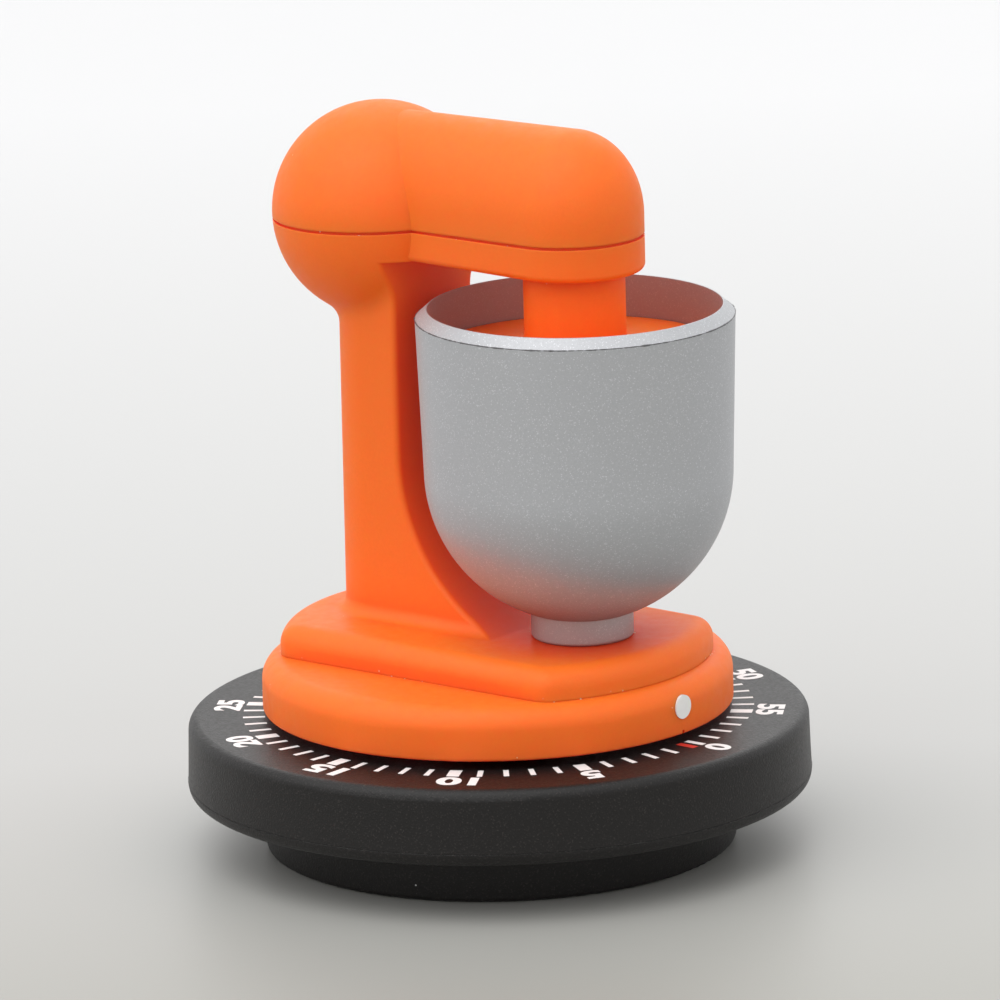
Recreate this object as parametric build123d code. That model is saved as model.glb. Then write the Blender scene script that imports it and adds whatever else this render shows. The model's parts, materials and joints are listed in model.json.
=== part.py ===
from build123d import *

import os
from math import acos, atan2, cos, degrees, hypot, pi, radians, sin, sqrt, tan

# A wind-up kitchen timer. A stand mixer is the setting knob: it turns on a round black base with a 60 minute
# scale, and a clockwork movement inside the base runs it back to zero and strikes a bell.
# Millimetres. Z is up and the origin is on the resting plane under the knob's axis.
# The mixer's nose points to -Y.

# ---- fixed base ----
GRIP_PROUD = 0.2          # rubber ring stands proud of the base underside
GRIP_DEPTH = 0.9          # and sits this deep in it
GRIP_WIDTH = 2.4
GRIP_INSET = 1.0          # drum's side to the ring
DRUM_TOP_R = 29.2         # drum that the base stands on
DRUM_DRAFT = 1.0          # the drum narrows by this much towards its foot
DRUM_H = 6.8              # drum underside to the underside of the dial rim
CASE_R = 37.5             # dial rim at the parting line
RIM_H = 1.6               # rim part that belongs to the lower housing
RIM_FILLET = 1.4
DIAL_H = 7.65             # parting line to the dial face
DIAL_DRAFT = 0.25         # the dial rim narrows by this much at its top
DIAL_FILLET = 1.3
CASE_WALL = 2.0
DRUM_FOOT_FILLET = 0.6
DRUM_TOP_FILLET = 0.5
SPIGOT_H = 1.8            # lower housing's rim that reaches into the dial housing
SPIGOT_WALL = 1.4
CASE_FIT = 0.1            # clearance round the spigot
COLLAR_R = 6.0            # collar round the arbor on the dial face
COLLAR_H = 0.8
COLLAR_FLARE = 0.6        # the collar widens by this much at its foot

# ---- knob turntable ----
KNOB_GAP = 1.08           # dial face to the turntable's lower edge
KNOB_R = 28.26
KNOB_H = 6.27
KNOB_FILLET = 2.7
KNOB_EDGE_FILLET = 0.3    # lower edge
KNOB_WALL = 1.8
KNOB_RIBS = 6
KNOB_RIB_W = 1.2
KNOB_RIB_STEP = 0.6       # ribs end this much above the hub's underside
HUB_R = 6.0
HUB_GAP = 0.25            # hub underside to the collar
DOT_R = 1.43
DOT_RISE = 0.2            # middle of the turntable's side up to the dot
DOT_DEPTH = 0.4
DOT_PROUD = 0.1
NOTCH_W = 0.4              # small notch in the lower edge under the dot
NOTCH_H = 0.5
NOTCH_DEPTH = 0.4

# ---- mixer ----
PLINTH_STEP = 2.3         # turntable's side to the plinth
PLINTH_H = 3.75
PLINTH_REAR_W = 34.6
PLINTH_FRONT_W = 32.6
PLINTH_CORNER = 3.0
PLINTH_CORNER_IN = 0.2    # the same corner inside
PLINTH_FILLET = 2.4
BODY_WALL = 1.8
COLUMN_W = 14.9
COLUMN_GAP = 3.34         # bowl to the column's front
COLUMN_REAR_Y = 20.4
COLUMN_LEAN = 0.3         # the back leans out by this much towards its foot
COLUMN_REAR_FILLET = 6.6
COLUMN_EDGE_FILLET = 0.75
COLUMN_FOOT_FILLET = 1.5
COLUMN_TOP_FILLET = 2.5   # soft corner between the column and the ball
HEAD_R = 13.1             # ball at the rear of the head
HEAD_SETBACK = 7.7        # the ball's centre behind the column's front
HEAD_RISE = 0.3           # seam up to the ball's centre
SEAM_GAP = 0.36           # seam between lower head and cover
SEAM_TILT = 1.15          # degrees; the seam rises towards the nose
SEAM_DEPTH = 0.4          # behind this the cover rests on the lower head
BARREL_NOSE_W = 16.9
BARREL_NOSE_H = 13.1      # from the seam up
BARREL_REAR_W = 13.8
BARREL_REAR_H = 12.8
BARREL_REAR_Y = 8.0
BARREL_SIDE_H = 3.0       # upright sides above the seam
CHIN_GAP = 4.3            # bowl's rim up to the chin
CHIN_H = 3.7              # chin up to the seam over the column
CHIN_FILLET = 0.8
LIP_H = 1.2
LIP_WALL = 1.0

# ---- bowl and beater post ----
BOWL_Y = -13.3            # axis of bowl, post and nose
BOWL_R = 18.36            # half ball
BOWL_FLARE = 0.59         # the sides lean out by this much from the half ball to the rim
BOWL_LIP = 1.35           # width of the rim's chamfer
BOWL_LIP_EDGE = 0.1       # flat left at the mouth
BOWL_H = 40.15
BOWL_CHAMFER_H = 1.2
BOWL_WALL = 1.5
BOWL_FOOT_R = 6.1
BOWL_FOOT_H = 3.16
BOWL_FOOT_FILLET = 0.4
BOWL_RIM_FILLET = 0.15
FILL_DEPTH = 5.1          # rim down to the disc in the bowl
FILL_T = 1.2
FILL_GAP = 0.15
POST_R = 6.05

# ---- screws: shank radii and lengths ----
HOUSING_SCREW_R = 1.1
HOUSING_SCREW_L = 4.6
HOUSING_SCREW_ANGLES = (45, 135, 225, 315)
POCKET_CLEAR = 0.25       # head to the side of its pocket
POCKET_WALL = 0.7
MOVEMENT_SCREW_R = 0.95
MOVEMENT_SCREW_L = 3.2
KNOB_SCREW_R = 1.1
KNOB_SCREW_L = 4.8
BOWL_SCREW_R = 1.2
BOWL_SCREW_L = 4.6
POST_SCREW_R = 1.2
POST_SCREW_L = 7.0
BOSS_WALL = 1.6           # plastic round a screw
JOIN = 0.5                # overlap of a rib with what it joins
TOUCH = 0.05              # edges this close to a plane lie in it
SCREW_HEAD = 1.95         # head radius and height as shares of the shank's radius
SCREW_HEAD_H = 1.25
CROSS_W = 0.3             # width of the cross recess, as a share too
KNOB_SCREW_SHARE = 0.67   # two turntable screws at this share of the plinth's radius
KNOB_SCREW_ANGLES = (47, 133)
KNOB_SCREW_EDGE = 4.0     # and one this far from the plinth's front

# ---- clockwork frame ----
PLATE_T = 0.8
PLATE_STAND = 1.6         # floor up to the lower plate
PLATE_HEADROOM = 0.85     # upper plate to the ceiling of the dial housing
PLATE_MARGIN = 1.8        # drum wall to the plates
PLATE_EDGE = 0.6          # edge of the plates to a pillar
PILLAR_R = 1.6
TENON_R = 0.9
PILLAR_ANGLES = (350, 152.5, 209)
MOVEMENT_SCREW_ANGLES = (30, 125, 222)
NUT_R = 1.9
NUT_H = 0.65
RUNNING = 0.03            # radial clearance of a pivot in its hole
ARBOR_R = 0.8
PIVOT_R = 0.4
END_SHAKE = 0.1           # shoulder of an arbor to the plate

# ---- winding ----
MAIN_ARBOR_R = 1.5
MAIN_PIVOT_R = 1.0
KNOB_SHAFT_R = 2.2
KNOB_SHAFT_FLAT = 1.5     # axis to the flat of the D
SHAFT_CLEAR = 0.05        # radial clearance of the shaft in the dial housing
SHAFT_TOP_GAP = 0.2       # shaft's end to the turntable's ceiling
SPRING_R = 5.1
SPRING_STRIP = 0.3
SPRING_TURNS = 5
SPRING_H = 2.5
RATCHET_R = 3.6
RATCHET_TEETH = 12
CLICK_AT_R = 6.4
CLICK_L = 3.3
CLICK_LEAN = 32           # degrees between the click and the line to the arbor
CLICK_PIN_R = 0.5
CLICK_EYE_R = 0.95
CLICK_W = 0.7
CLICK_BOSS_R = 1.2        # round a click's pin in the great wheel
CLICKS = 2
CLICK_START = 36          # degrees from the second arbor to the first click, and between the clicks
CLICK_STEP = 216
RATCHET_TOOTH_H = 0.6
RATCHET_LEAN = 1          # degrees that a tooth's steep side leans by
FINGER_R = 9.0            # reach of the strike cam's finger
FINGER_W = 0.8
FINGER_PAST = 9           # degrees from the hammer's tail to the finger
CAM_HUB_R = 2.6
SPRING_COLLAR = 0.25      # the mainspring's collar stands out by this much
SPRING_POST_ANGLE = 150

# ---- going train: module and teeth of wheel and pinion ----
GREAT_TEETH = 60
SECOND_TEETH = 56
THIRD_TEETH = 48
LEAVES = 8
GREAT = (0.36, GREAT_TEETH, LEAVES)
SECOND = (0.33, SECOND_TEETH, LEAVES)
THIRD = (0.30, THIRD_TEETH, LEAVES)
BACKLASH = 0.06
PRESSURE = radians(20)
WHEEL_T = 0.7
WHEEL_TIP = 0.5           # height of the teeth beyond the pitch circle and depth within it, in modules
WHEEL_ROOT = 1.25
WHEEL_RIM = 2.2           # pitch circle to the windows
WHEEL_HUB = 1.4           # bore to the windows
WHEEL_WINDOWS = 5
PINION_T = 1.3
PINION_TIP = 1.0
PINION_ROOT = 0.75
SECOND_ANGLE = 40.0
THIRD_AT_R = 13.0         # distance of an arbor from the knob's axis
ESCAPE_AT_R = 13.6
LEVER_AT_R = 14.5
BALANCE_AT_R = 15.0

# ---- escapement ----
ESCAPE_TEETH = 16
ESCAPE_TIP_R = 4.6
ESCAPE_ROOT_R = 3.5
ESCAPE_LEAN = 0.4         # root of a tooth's face behind its tip, as shares of the tooth pitch
ESCAPE_TIP_W = 0.08       # width of the tip
ESCAPE_BACK = 0.2         # root of the tooth's back ahead of the tip
ESCAPE_WINDOWS = 4
ESCAPE_WINDOW_R = 0.75
ESCAPE_WINDOW_AT_R = 2.1
ESCAPE_TO_LEVER = 6.6
LEVER_TO_BALANCE = 7.2
LEVER_SWING = 6.7         # degrees each way
PALLET_SPAN = 3.5         # tooth pitches between the pallet pins
PALLET_PIN_R = 0.2
PALLET_CLEAR = 0.05       # pallet pin to tooth tips at the end of the lever's swing
BALANCE_R = 6.2
BALANCE_RIM = 1.2
BALANCE_T = 1.0
BALANCE_SPOKES = 3
BALANCE_SPOKE_W = 0.9
BALANCE_HUB_R = 1.5
ROLLER_R = 2.1
ROLLER_T = 0.6
IMPULSE_AT_R = 1.6
IMPULSE_R = 0.25
FORK_CLEAR = 0.1
FORK_W = 1.7
FORK_REACH = 0.3          # fork beyond the impulse pin, and slot behind it
PALLET_ARM_W = 0.9
LEVER_HUB_R = 1.3
LEVER_COLLAR_H = 1.2
PALLET_PIN_DROP = 0.2     # pins reach this much below the escape wheel
HAIRSPRING_R = 3.6
HAIRSPRING_STRIP = 0.15
HAIRSPRING_TURNS = 6
HAIRSPRING_H = 0.35
STUD_ANGLE = 240

# ---- strike ----
BELL_ANGLE = 300.0
BELL_AT_R = 14.2
BELL_R = 7.0
BELL_H = 3.4
BELL_WALL = 0.7
BELL_FILLET = 2.0
BELL_POST_R = 1.6
POST_HEAD_H = 0.3         # riveted head of the bell's and the hammer's post
HAMMER_ANGLE = 246.0
HAMMER_AT_R = 17.2
HAMMER_HEAD_R = 1.1
HAMMER_HEAD_H = 2.6
HAMMER_HUB_R = 1.5
HAMMER_ARM_W = 0.9
HAMMER_ARM_T = 0.8
HAMMER_ARM_RISE = 0.6     # head's foot to the arm
STRIKE_GAP = 0.3
TAIL_CLEAR = 0.25

# ---- heights that follow ----
base_z = GRIP_PROUD
rim_z = base_z + DRUM_H
parting_z = rim_z + RIM_H
dial_z = parting_z + DIAL_H
ceiling_z = dial_z - CASE_WALL
floor_z = base_z + CASE_WALL
knob_z = dial_z + KNOB_GAP
knob_top_z = knob_z + KNOB_H
knob_ceiling_z = knob_top_z - KNOB_WALL
dot_z = (knob_z + knob_top_z) / 2 + DOT_RISE
hub_z = dial_z + COLLAR_H + HUB_GAP
plinth_z = knob_top_z + PLINTH_H
plinth_ceiling_z = plinth_z - BODY_WALL
foot_top_z = plinth_z + BOWL_FOOT_H
bowl_ball_z = foot_top_z + sqrt(BOWL_R**2 - BOWL_FOOT_R**2)
bowl_top_z = plinth_z + BOWL_H
fill_z = bowl_top_z - FILL_DEPTH
chin_z = bowl_top_z + CHIN_GAP
seam_z = chin_z + CHIN_H
barrel_side_z = seam_z + BARREL_SIDE_H
head_z = seam_z + HEAD_RISE

# ---- widths that follow ----
spigot_r = CASE_R - CASE_WALL - CASE_FIT
drum_bottom_r = DRUM_TOP_R - DRUM_DRAFT
drum_wall_r = drum_bottom_r - CASE_WALL
plinth_r = KNOB_R - PLINTH_STEP
bowl_rim_r = BOWL_R + BOWL_FLARE
bowl_mouth_r = bowl_rim_r - BOWL_LIP
column_front_y = BOWL_Y + BOWL_R + COLUMN_GAP
head_y = column_front_y + HEAD_SETBACK

# ---- the movement's place ----
plate_r = drum_wall_r - PLATE_MARGIN
plate_z = floor_z + PLATE_STAND
works_z = plate_z + PLATE_T
upper_z = ceiling_z - PLATE_HEADROOM - PLATE_T
works_h = upper_z - works_z


def level(share):
    """Height in the movement: 0 at the lower plate, 1 at the upper plate."""
    return works_z + share * works_h


# ---- where each piece stands in the movement, as a share of its height ----
SPRING_LEVEL = 0.01
HAIRSPRING_LEVEL = 0.03
BALANCE_LEVEL = 0.10
THIRD_WHEEL_LEVEL = 0.12
BELL_LEVEL = 0.06
SECOND_WHEEL_LEVEL = 0.36
LEVER_LEVEL = 0.49
FINGER_LEVEL = 0.55
GREAT_LEVEL = 0.66


# ---- layout of the arbors ----
def polar(radius, angle, centre=(0, 0)):
    """Point at a radius and an angle in degrees from a centre."""
    return centre[0] + radius * cos(radians(angle)), centre[1] + radius * sin(radians(angle))


def bearing(start, end):
    """Direction in degrees from one point to another."""
    return degrees(atan2(end[1] - start[1], end[0] - start[0]))


def apart(radius_a, radius_b, gap):
    """Angle at the knob's axis between two arbors that stand a gap apart."""
    return degrees(acos((radius_a**2 + radius_b**2 - gap**2) / (2 * radius_a * radius_b)))


def centres(mesh):
    """Distance between the arbors of a wheel and the pinion it drives."""
    module, wheel, pinion = mesh
    return module * (wheel + pinion) / 2


second_at_r = centres(GREAT)
third_angle = SECOND_ANGLE + apart(second_at_r, THIRD_AT_R, centres(SECOND))
escape_angle = third_angle + apart(THIRD_AT_R, ESCAPE_AT_R, centres(THIRD))
lever_angle = escape_angle + apart(ESCAPE_AT_R, LEVER_AT_R, ESCAPE_TO_LEVER)
balance_angle = lever_angle + apart(LEVER_AT_R, BALANCE_AT_R, LEVER_TO_BALANCE)
knob_at = (0, 0)
second_at = polar(second_at_r, SECOND_ANGLE)
third_at = polar(THIRD_AT_R, third_angle)
escape_at = polar(ESCAPE_AT_R, escape_angle)
lever_at = polar(LEVER_AT_R, lever_angle)
balance_at = polar(BALANCE_AT_R, balance_angle)
bell_at = polar(BELL_AT_R, BELL_ANGLE)
hammer_at = polar(HAMMER_AT_R, HAMMER_ANGLE)
pillars_at = [polar(plate_r - PILLAR_R - PLATE_EDGE, a) for a in PILLAR_ANGLES]
movement_screws_at = [polar(plate_r - SCREW_HEAD * MOVEMENT_SCREW_R, a) for a in MOVEMENT_SCREW_ANGLES]
housing_screws_at = [polar((DRUM_TOP_R + CASE_R - CASE_WALL) / 2, a) for a in HOUSING_SCREW_ANGLES]
knob_screws_at = [polar(KNOB_SCREW_SHARE * plinth_r, a) for a in KNOB_SCREW_ANGLES]
knob_screws_at += [(0, KNOB_SCREW_EDGE - plinth_r)]


# ---- shapes used more than once ----
def disc(radius, low, high, at=(0, 0)):
    """Upright cylinder between two heights."""
    place = Pos(at[0], at[1], low)
    return place * Cylinder(radius, high - low, align=(Align.CENTER, Align.CENTER, Align.MIN))


def ring(outer, inner, low, high, at=(0, 0)):
    """Upright tube between two heights."""
    return disc(outer, low, high, at) - disc(inner, low, high, at)


def slab(face, low, high):
    """A plan outline raised between two heights."""
    return extrude(Pos(0, 0, low) * face, high - low, dir=(0, 0, 1))


def rounded(face, corners):
    """Round the corners of a flat outline that lie nearest to the given points."""
    for x, y, radius in corners:
        face = fillet(face.vertices().sort_by_distance((x, y, 0))[:1], radius)
    return face


def turned(face, at=(0, 0)):
    """Solid of revolution from an outline drawn in radius and height."""
    return Pos(at[0], at[1], 0) * revolve(Plane.XZ * face, Axis.Z)


def bar(start, end, width, low, high):
    """Flat bar with round ends between two points."""
    middle = ((start[0] + end[0]) / 2, (start[1] + end[1]) / 2)
    length = hypot(end[0] - start[0], end[1] - start[1])
    face = SlotCenterToCenter(length, width)
    return slab(Pos(middle[0], middle[1], 0) * Rot(0, 0, bearing(start, end)) * face, low, high)


def screw(at, seat, length, radius, up=True):
    """Pan-head screw with a cross recess, its head under the seat when it points up."""
    head_r = SCREW_HEAD * radius
    head_h = SCREW_HEAD_H * radius
    way = 1 if up else -1
    head = disc(head_r, min(seat, seat - way * head_h), max(seat, seat - way * head_h), at)
    shank = disc(radius, min(seat, seat + way * length), max(seat, seat + way * length), at)
    top = seat - way * head_h
    cross = Box(head_r, CROSS_W * radius, head_h) + Box(CROSS_W * radius, head_r, head_h)
    return head + shank - Pos(at[0], at[1], top) * cross


def spiral_strip(inner, outer, turns, strip, start, low, high, at):
    """Flat coiled strip between two radii, starting at an angle."""
    steps = 14 * turns

    def edge(offset):
        points = []
        for i in range(steps + 1):
            radius = inner + (outer - inner) * i / steps + offset
            points.append(polar(radius, start + 360 * turns * i / steps, at))
        return points

    near, far = edge(-strip / 2), edge(strip / 2)
    sides = [Spline(*near), Line(near[-1], far[-1]), Spline(*far[::-1]), Line(far[0], near[0])]
    return slab(make_face(sides), low, high)


# ---- fixed base ----
def dial_housing():
    """Upper half of the base: dial face, skirt, arbor collar and four screw bosses."""
    top_r = CASE_R - DIAL_DRAFT
    outer = make_face(Polyline(
        (0, parting_z), (CASE_R, parting_z), (top_r, dial_z), (COLLAR_R + COLLAR_FLARE, dial_z),
        (COLLAR_R, dial_z + COLLAR_H), (0, dial_z + COLLAR_H), close=True))
    outer = rounded(outer, [(top_r, dial_z, DIAL_FILLET)])
    inside_r = CASE_R - CASE_WALL
    inside = make_face(Polyline(
        (0, parting_z), (inside_r, parting_z), (inside_r - DIAL_DRAFT, ceiling_z), (0, ceiling_z),
        close=True))
    body = turned(outer - inside)
    for at in housing_screws_at:
        body += disc(HOUSING_SCREW_R + BOSS_WALL, parting_z + SPIGOT_H, ceiling_z, at)
    for at in housing_screws_at:
        body -= disc(HOUSING_SCREW_R, parting_z + SPIGOT_H, parting_z + HOUSING_SCREW_L, at)
    return body - disc(KNOB_SHAFT_R + SHAFT_CLEAR, ceiling_z, dial_z + COLLAR_H)


def base_housing():
    """Lower half of the base: drum, rim and spigot, with bosses for the movement and the screws."""
    outer = make_face(Polyline(
        (0, base_z), (drum_bottom_r, base_z), (DRUM_TOP_R, rim_z), (CASE_R, rim_z),
        (CASE_R, parting_z), (0, parting_z), close=True))
    outer = rounded(outer, [
        (drum_bottom_r, base_z, DRUM_FOOT_FILLET), (DRUM_TOP_R, rim_z, DRUM_TOP_FILLET),
        (CASE_R, rim_z, RIM_FILLET)])
    inside = make_face(Polyline(
        (0, floor_z), (drum_wall_r, floor_z), (DRUM_TOP_R - CASE_WALL, parting_z), (0, parting_z),
        close=True))
    spigot_top_z = parting_z + SPIGOT_H
    body = turned(outer - inside) + ring(spigot_r, spigot_r - SPIGOT_WALL, parting_z, spigot_top_z)
    pocket_r = SCREW_HEAD * HOUSING_SCREW_R + POCKET_CLEAR
    within = disc(spigot_r, parting_z, spigot_top_z)
    for at in housing_screws_at:
        body += disc(pocket_r + POCKET_WALL, parting_z, spigot_top_z, at) & within
    for at in housing_screws_at:
        body -= disc(pocket_r, rim_z, parting_z, at)
        body -= disc(HOUSING_SCREW_R, rim_z, spigot_top_z, at)
    for at in movement_screws_at:
        body += disc(MOVEMENT_SCREW_R + BOSS_WALL, floor_z, plate_z, at)
    for at in movement_screws_at:
        body -= disc(MOVEMENT_SCREW_R, plate_z - MOVEMENT_SCREW_L + PLATE_T, plate_z, at)
    return body - grip_groove()


def grip_groove():
    """Space for the rubber ring in the base underside."""
    outer_r = drum_bottom_r - GRIP_INSET
    return ring(outer_r, outer_r - GRIP_WIDTH, 0, base_z + GRIP_DEPTH)


def grip_ring():
    """Rubber ring that the timer stands on."""
    return grip_groove()


def housing_screws():
    """Four screws that hold the two housings together."""
    return [screw(at, parting_z, HOUSING_SCREW_L, HOUSING_SCREW_R) for at in housing_screws_at]


# ---- movement frame ----
def plate(low, holes):
    """Round steel plate with a list of holes, each a centre and a radius."""
    body = disc(plate_r, low, low + PLATE_T)
    for at, radius in holes:
        body -= disc(radius, low, low + PLATE_T, at)
    return body


def pivot_holes():
    """Holes for the train, lever and balance pivots, the same in both plates."""
    train = [(at, PIVOT_R + RUNNING) for at in (second_at, third_at, escape_at, lever_at)]
    return train + [(balance_at, PIVOT_R + RUNNING)]


def lower_plate():
    """Plate on the base floor that carries the lower pivots, spring post, bell post and hammer post."""
    posts = [(at, TENON_R) for at in (*pillars_at, spring_post_at(), stud_at(), bell_at, hammer_at)]
    screws = [(at, MOVEMENT_SCREW_R) for at in movement_screws_at]
    return plate(plate_z, [(knob_at, MAIN_PIVOT_R + RUNNING), *pivot_holes(), *posts, *screws])


def upper_plate():
    """Plate under the dial that carries the upper pivots."""
    posts = [(at, TENON_R) for at in pillars_at]
    return plate(upper_z, [(knob_at, MAIN_ARBOR_R + RUNNING), *pivot_holes(), *posts])


def plate_pillars():
    """Three pillars that hold the plates apart, riveted below and threaded above."""
    made = []
    for at in pillars_at:
        stem = disc(TENON_R, plate_z, upper_z + PLATE_T + NUT_H, at)
        made.append(stem + disc(PILLAR_R, works_z, upper_z, at))
    return made


def pillar_nuts():
    """Hexagon nuts on the pillars."""
    low = upper_z + PLATE_T
    made = []
    for at in pillars_at:
        hexagon = Pos(at[0], at[1], 0) * RegularPolygon(NUT_R, 6)
        made.append(slab(hexagon, low, low + NUT_H) - disc(TENON_R, low, low + NUT_H, at))
    return made


def movement_screws():
    """Screws that hold the lower plate on the bosses of the base floor."""
    return [screw(at, works_z, MOVEMENT_SCREW_L, MOVEMENT_SCREW_R, up=False) for at in movement_screws_at]


# ---- gears ----
def involute_angle(radius, base_r):
    """Involute function of the pressure angle at a radius."""
    slope = acos(min(1.0, base_r / radius))
    return tan(slope) - slope


def gear_outline(module, teeth, addendum, dedendum, tooth_at):
    """Spur gear outline with involute flanks; a tooth's middle lies at the given angle."""
    pitch_r = module * teeth / 2
    base_r = pitch_r * cos(PRESSURE)
    tip_r = pitch_r + addendum * module
    root_r = pitch_r - dedendum * module
    start_r = max(root_r, base_r)
    half_pitch_tooth = pi / (2 * teeth) - BACKLASH / (4 * pitch_r)

    def flank(radius):
        return degrees(half_pitch_tooth + involute_angle(pitch_r, base_r) - involute_angle(radius, base_r))

    radii = (start_r, (start_r + tip_r) / 2, tip_r)
    sides = []
    for i in range(teeth):
        middle = tooth_at + 360 * i / teeth
        rise = [polar(r, middle - flank(r)) for r in radii]
        fall = [polar(r, middle + flank(r)) for r in radii[::-1]]
        foot = polar(root_r, middle + flank(start_r))
        following = polar(root_r, middle + 360 / teeth - flank(start_r))
        if start_r > root_r:
            sides.append(Line(polar(root_r, middle - flank(start_r)), rise[0]))
            sides.append(Line(fall[2], foot))
        sides.append(ThreePointArc(*rise))
        sides.append(ThreePointArc(rise[2], polar(tip_r, middle), fall[0]))
        sides.append(ThreePointArc(*fall))
        sides.append(ThreePointArc(foot, polar(root_r, middle + 180 / teeth), following))
    return make_face(sides)


def wheel(mesh, at, bore, tooth_at, low, high):
    """Brass wheel with round windows; its short teeth clear the roots of a small pinion."""
    module, teeth, _ = mesh
    body = slab(gear_outline(module, teeth, WHEEL_TIP, WHEEL_ROOT, tooth_at), low, high)
    body -= disc(bore, low, high)
    rim_r = module * teeth / 2 - WHEEL_RIM
    window_r = (rim_r - bore - WHEEL_HUB) / 2
    for i in range(WHEEL_WINDOWS):
        body -= disc(window_r, low, high, polar(rim_r - window_r, tooth_at + 360 / WHEEL_WINDOWS * i))
    return Pos(at[0], at[1], 0) * body


def pinion_arbor(mesh, at, tooth_at, pinion_low):
    """Steel arbor with its pinion leaves and a pivot at each end."""
    module, _, teeth = mesh
    outline = gear_outline(module, teeth, PINION_TIP, PINION_ROOT, tooth_at)
    body = slab(outline, pinion_low, pinion_low + PINION_T)
    body += disc(ARBOR_R, works_z + END_SHAKE, upper_z - END_SHAKE)
    body += disc(PIVOT_R, plate_z, upper_z + PLATE_T)
    return Pos(at[0], at[1], 0) * body


def driven_tooth(mesh, driver_at, driven_at):
    """Angle that puts a space between two leaves on the line of centres."""
    return bearing(driven_at, driver_at) + 180 / mesh[2]


def pinion_level(wheel_level):
    """Underside of a pinion that stands centred on the wheel that drives it."""
    return level(wheel_level) + (WHEEL_T - PINION_T) / 2


def great_wheel():
    """First wheel of the train, loose on the main arbor and driven by the ratchet."""
    low = level(GREAT_LEVEL)
    body = wheel(GREAT, knob_at, MAIN_ARBOR_R + RUNNING, SECOND_ANGLE, low, low + WHEEL_T)
    for at in clicks_at():
        body += disc(CLICK_BOSS_R, low, low + WHEEL_T, at)
    for at in clicks_at():
        body -= disc(CLICK_PIN_R, low, low + WHEEL_T, at)
    return body


def second_pinion():
    """Second arbor, driven by the great wheel."""
    return pinion_arbor(GREAT, second_at, driven_tooth(GREAT, knob_at, second_at), pinion_level(GREAT_LEVEL))


def second_wheel():
    """Second wheel."""
    low = level(SECOND_WHEEL_LEVEL)
    return wheel(SECOND, second_at, ARBOR_R, bearing(second_at, third_at), low, low + WHEEL_T)


def third_pinion():
    """Third arbor, driven by the second wheel."""
    tooth = driven_tooth(SECOND, second_at, third_at)
    return pinion_arbor(SECOND, third_at, tooth, pinion_level(SECOND_WHEEL_LEVEL))


def third_wheel():
    """Third wheel."""
    low = level(THIRD_WHEEL_LEVEL)
    return wheel(THIRD, third_at, ARBOR_R, bearing(third_at, escape_at), low, low + WHEEL_T)


def escape_pinion():
    """Escape arbor, driven by the third wheel."""
    tooth = driven_tooth(THIRD, third_at, escape_at)
    return pinion_arbor(THIRD, escape_at, tooth, pinion_level(THIRD_WHEEL_LEVEL))


def escape_wheel():
    """Escape wheel with pointed, leaning teeth."""
    pitch = 360 / ESCAPE_TEETH
    points = []
    tooth = (
        (ESCAPE_ROOT_R, -ESCAPE_LEAN), (ESCAPE_TIP_R, 0),
        (ESCAPE_TIP_R, ESCAPE_TIP_W), (ESCAPE_ROOT_R, ESCAPE_BACK))
    for i in range(ESCAPE_TEETH):
        for radius, share in tooth:
            points.append(polar(radius, (i + share) * pitch))
    low = level(SECOND_WHEEL_LEVEL)
    body = slab(make_face(Polyline(*points, close=True)), low, low + WHEEL_T)
    body -= disc(ARBOR_R, low, low + WHEEL_T)
    for i in range(ESCAPE_WINDOWS):
        window_at = polar(ESCAPE_WINDOW_AT_R, 360 / ESCAPE_WINDOWS * (i + 0.5))
        body -= disc(ESCAPE_WINDOW_R, low, low + WHEEL_T, window_at)
    return Pos(escape_at[0], escape_at[1], 0) * body


# ---- winding ----
def main_arbor():
    """Arbor turned by the knob: pivot, spring collar, journal and D-shaped top."""
    shaft_low = upper_z + PLATE_T + END_SHAKE
    shaft_high = knob_ceiling_z - SHAFT_TOP_GAP
    body = disc(MAIN_PIVOT_R, plate_z, works_z) + disc(MAIN_ARBOR_R, works_z, shaft_low)
    body += disc(spring_collar_r(), level(SPRING_LEVEL), level(SPRING_LEVEL) + SPRING_H)
    shaft = disc(KNOB_SHAFT_R, shaft_low, shaft_high)
    cut = Box(2 * KNOB_SHAFT_R, KNOB_SHAFT_R, shaft_high, align=(Align.CENTER, Align.MIN, Align.MIN))
    return body + (shaft - Pos(0, KNOB_SHAFT_FLAT, hub_z) * cut)


def spring_collar_r():
    """Radius of the arbor's collar that the mainspring hooks on."""
    return MAIN_ARBOR_R + SPRING_COLLAR


def spring_post_at():
    """Post outside the last turn of the mainspring."""
    return polar(SPRING_R + SPRING_STRIP / 2 + TENON_R, SPRING_POST_ANGLE)


def mainspring():
    """Coiled strip of spring steel from the arbor's collar to the spring post."""
    low = level(SPRING_LEVEL)
    high = low + SPRING_H
    inner = spring_collar_r() + SPRING_STRIP / 2
    return spiral_strip(inner, SPRING_R, SPRING_TURNS, SPRING_STRIP, SPRING_POST_ANGLE, low, high, knob_at)


def spring_post():
    """Post riveted in the lower plate that holds the mainspring's outer end."""
    return disc(TENON_R, plate_z, level(SPRING_LEVEL) + SPRING_H, spring_post_at())


def ratchet_wheel():
    """Saw-toothed wheel fixed on the main arbor."""
    pitch = 360 / RATCHET_TEETH
    points = []
    for i in range(RATCHET_TEETH):
        points.append(polar(RATCHET_R, i * pitch))
        points.append(polar(RATCHET_R - RATCHET_TOOTH_H, i * pitch + RATCHET_LEAN))
    low = level(GREAT_LEVEL) + WHEEL_T
    body = slab(make_face(Polyline(*points, close=True)), low, low + WHEEL_T)
    return body - disc(MAIN_ARBOR_R, low, low + WHEEL_T)


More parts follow.
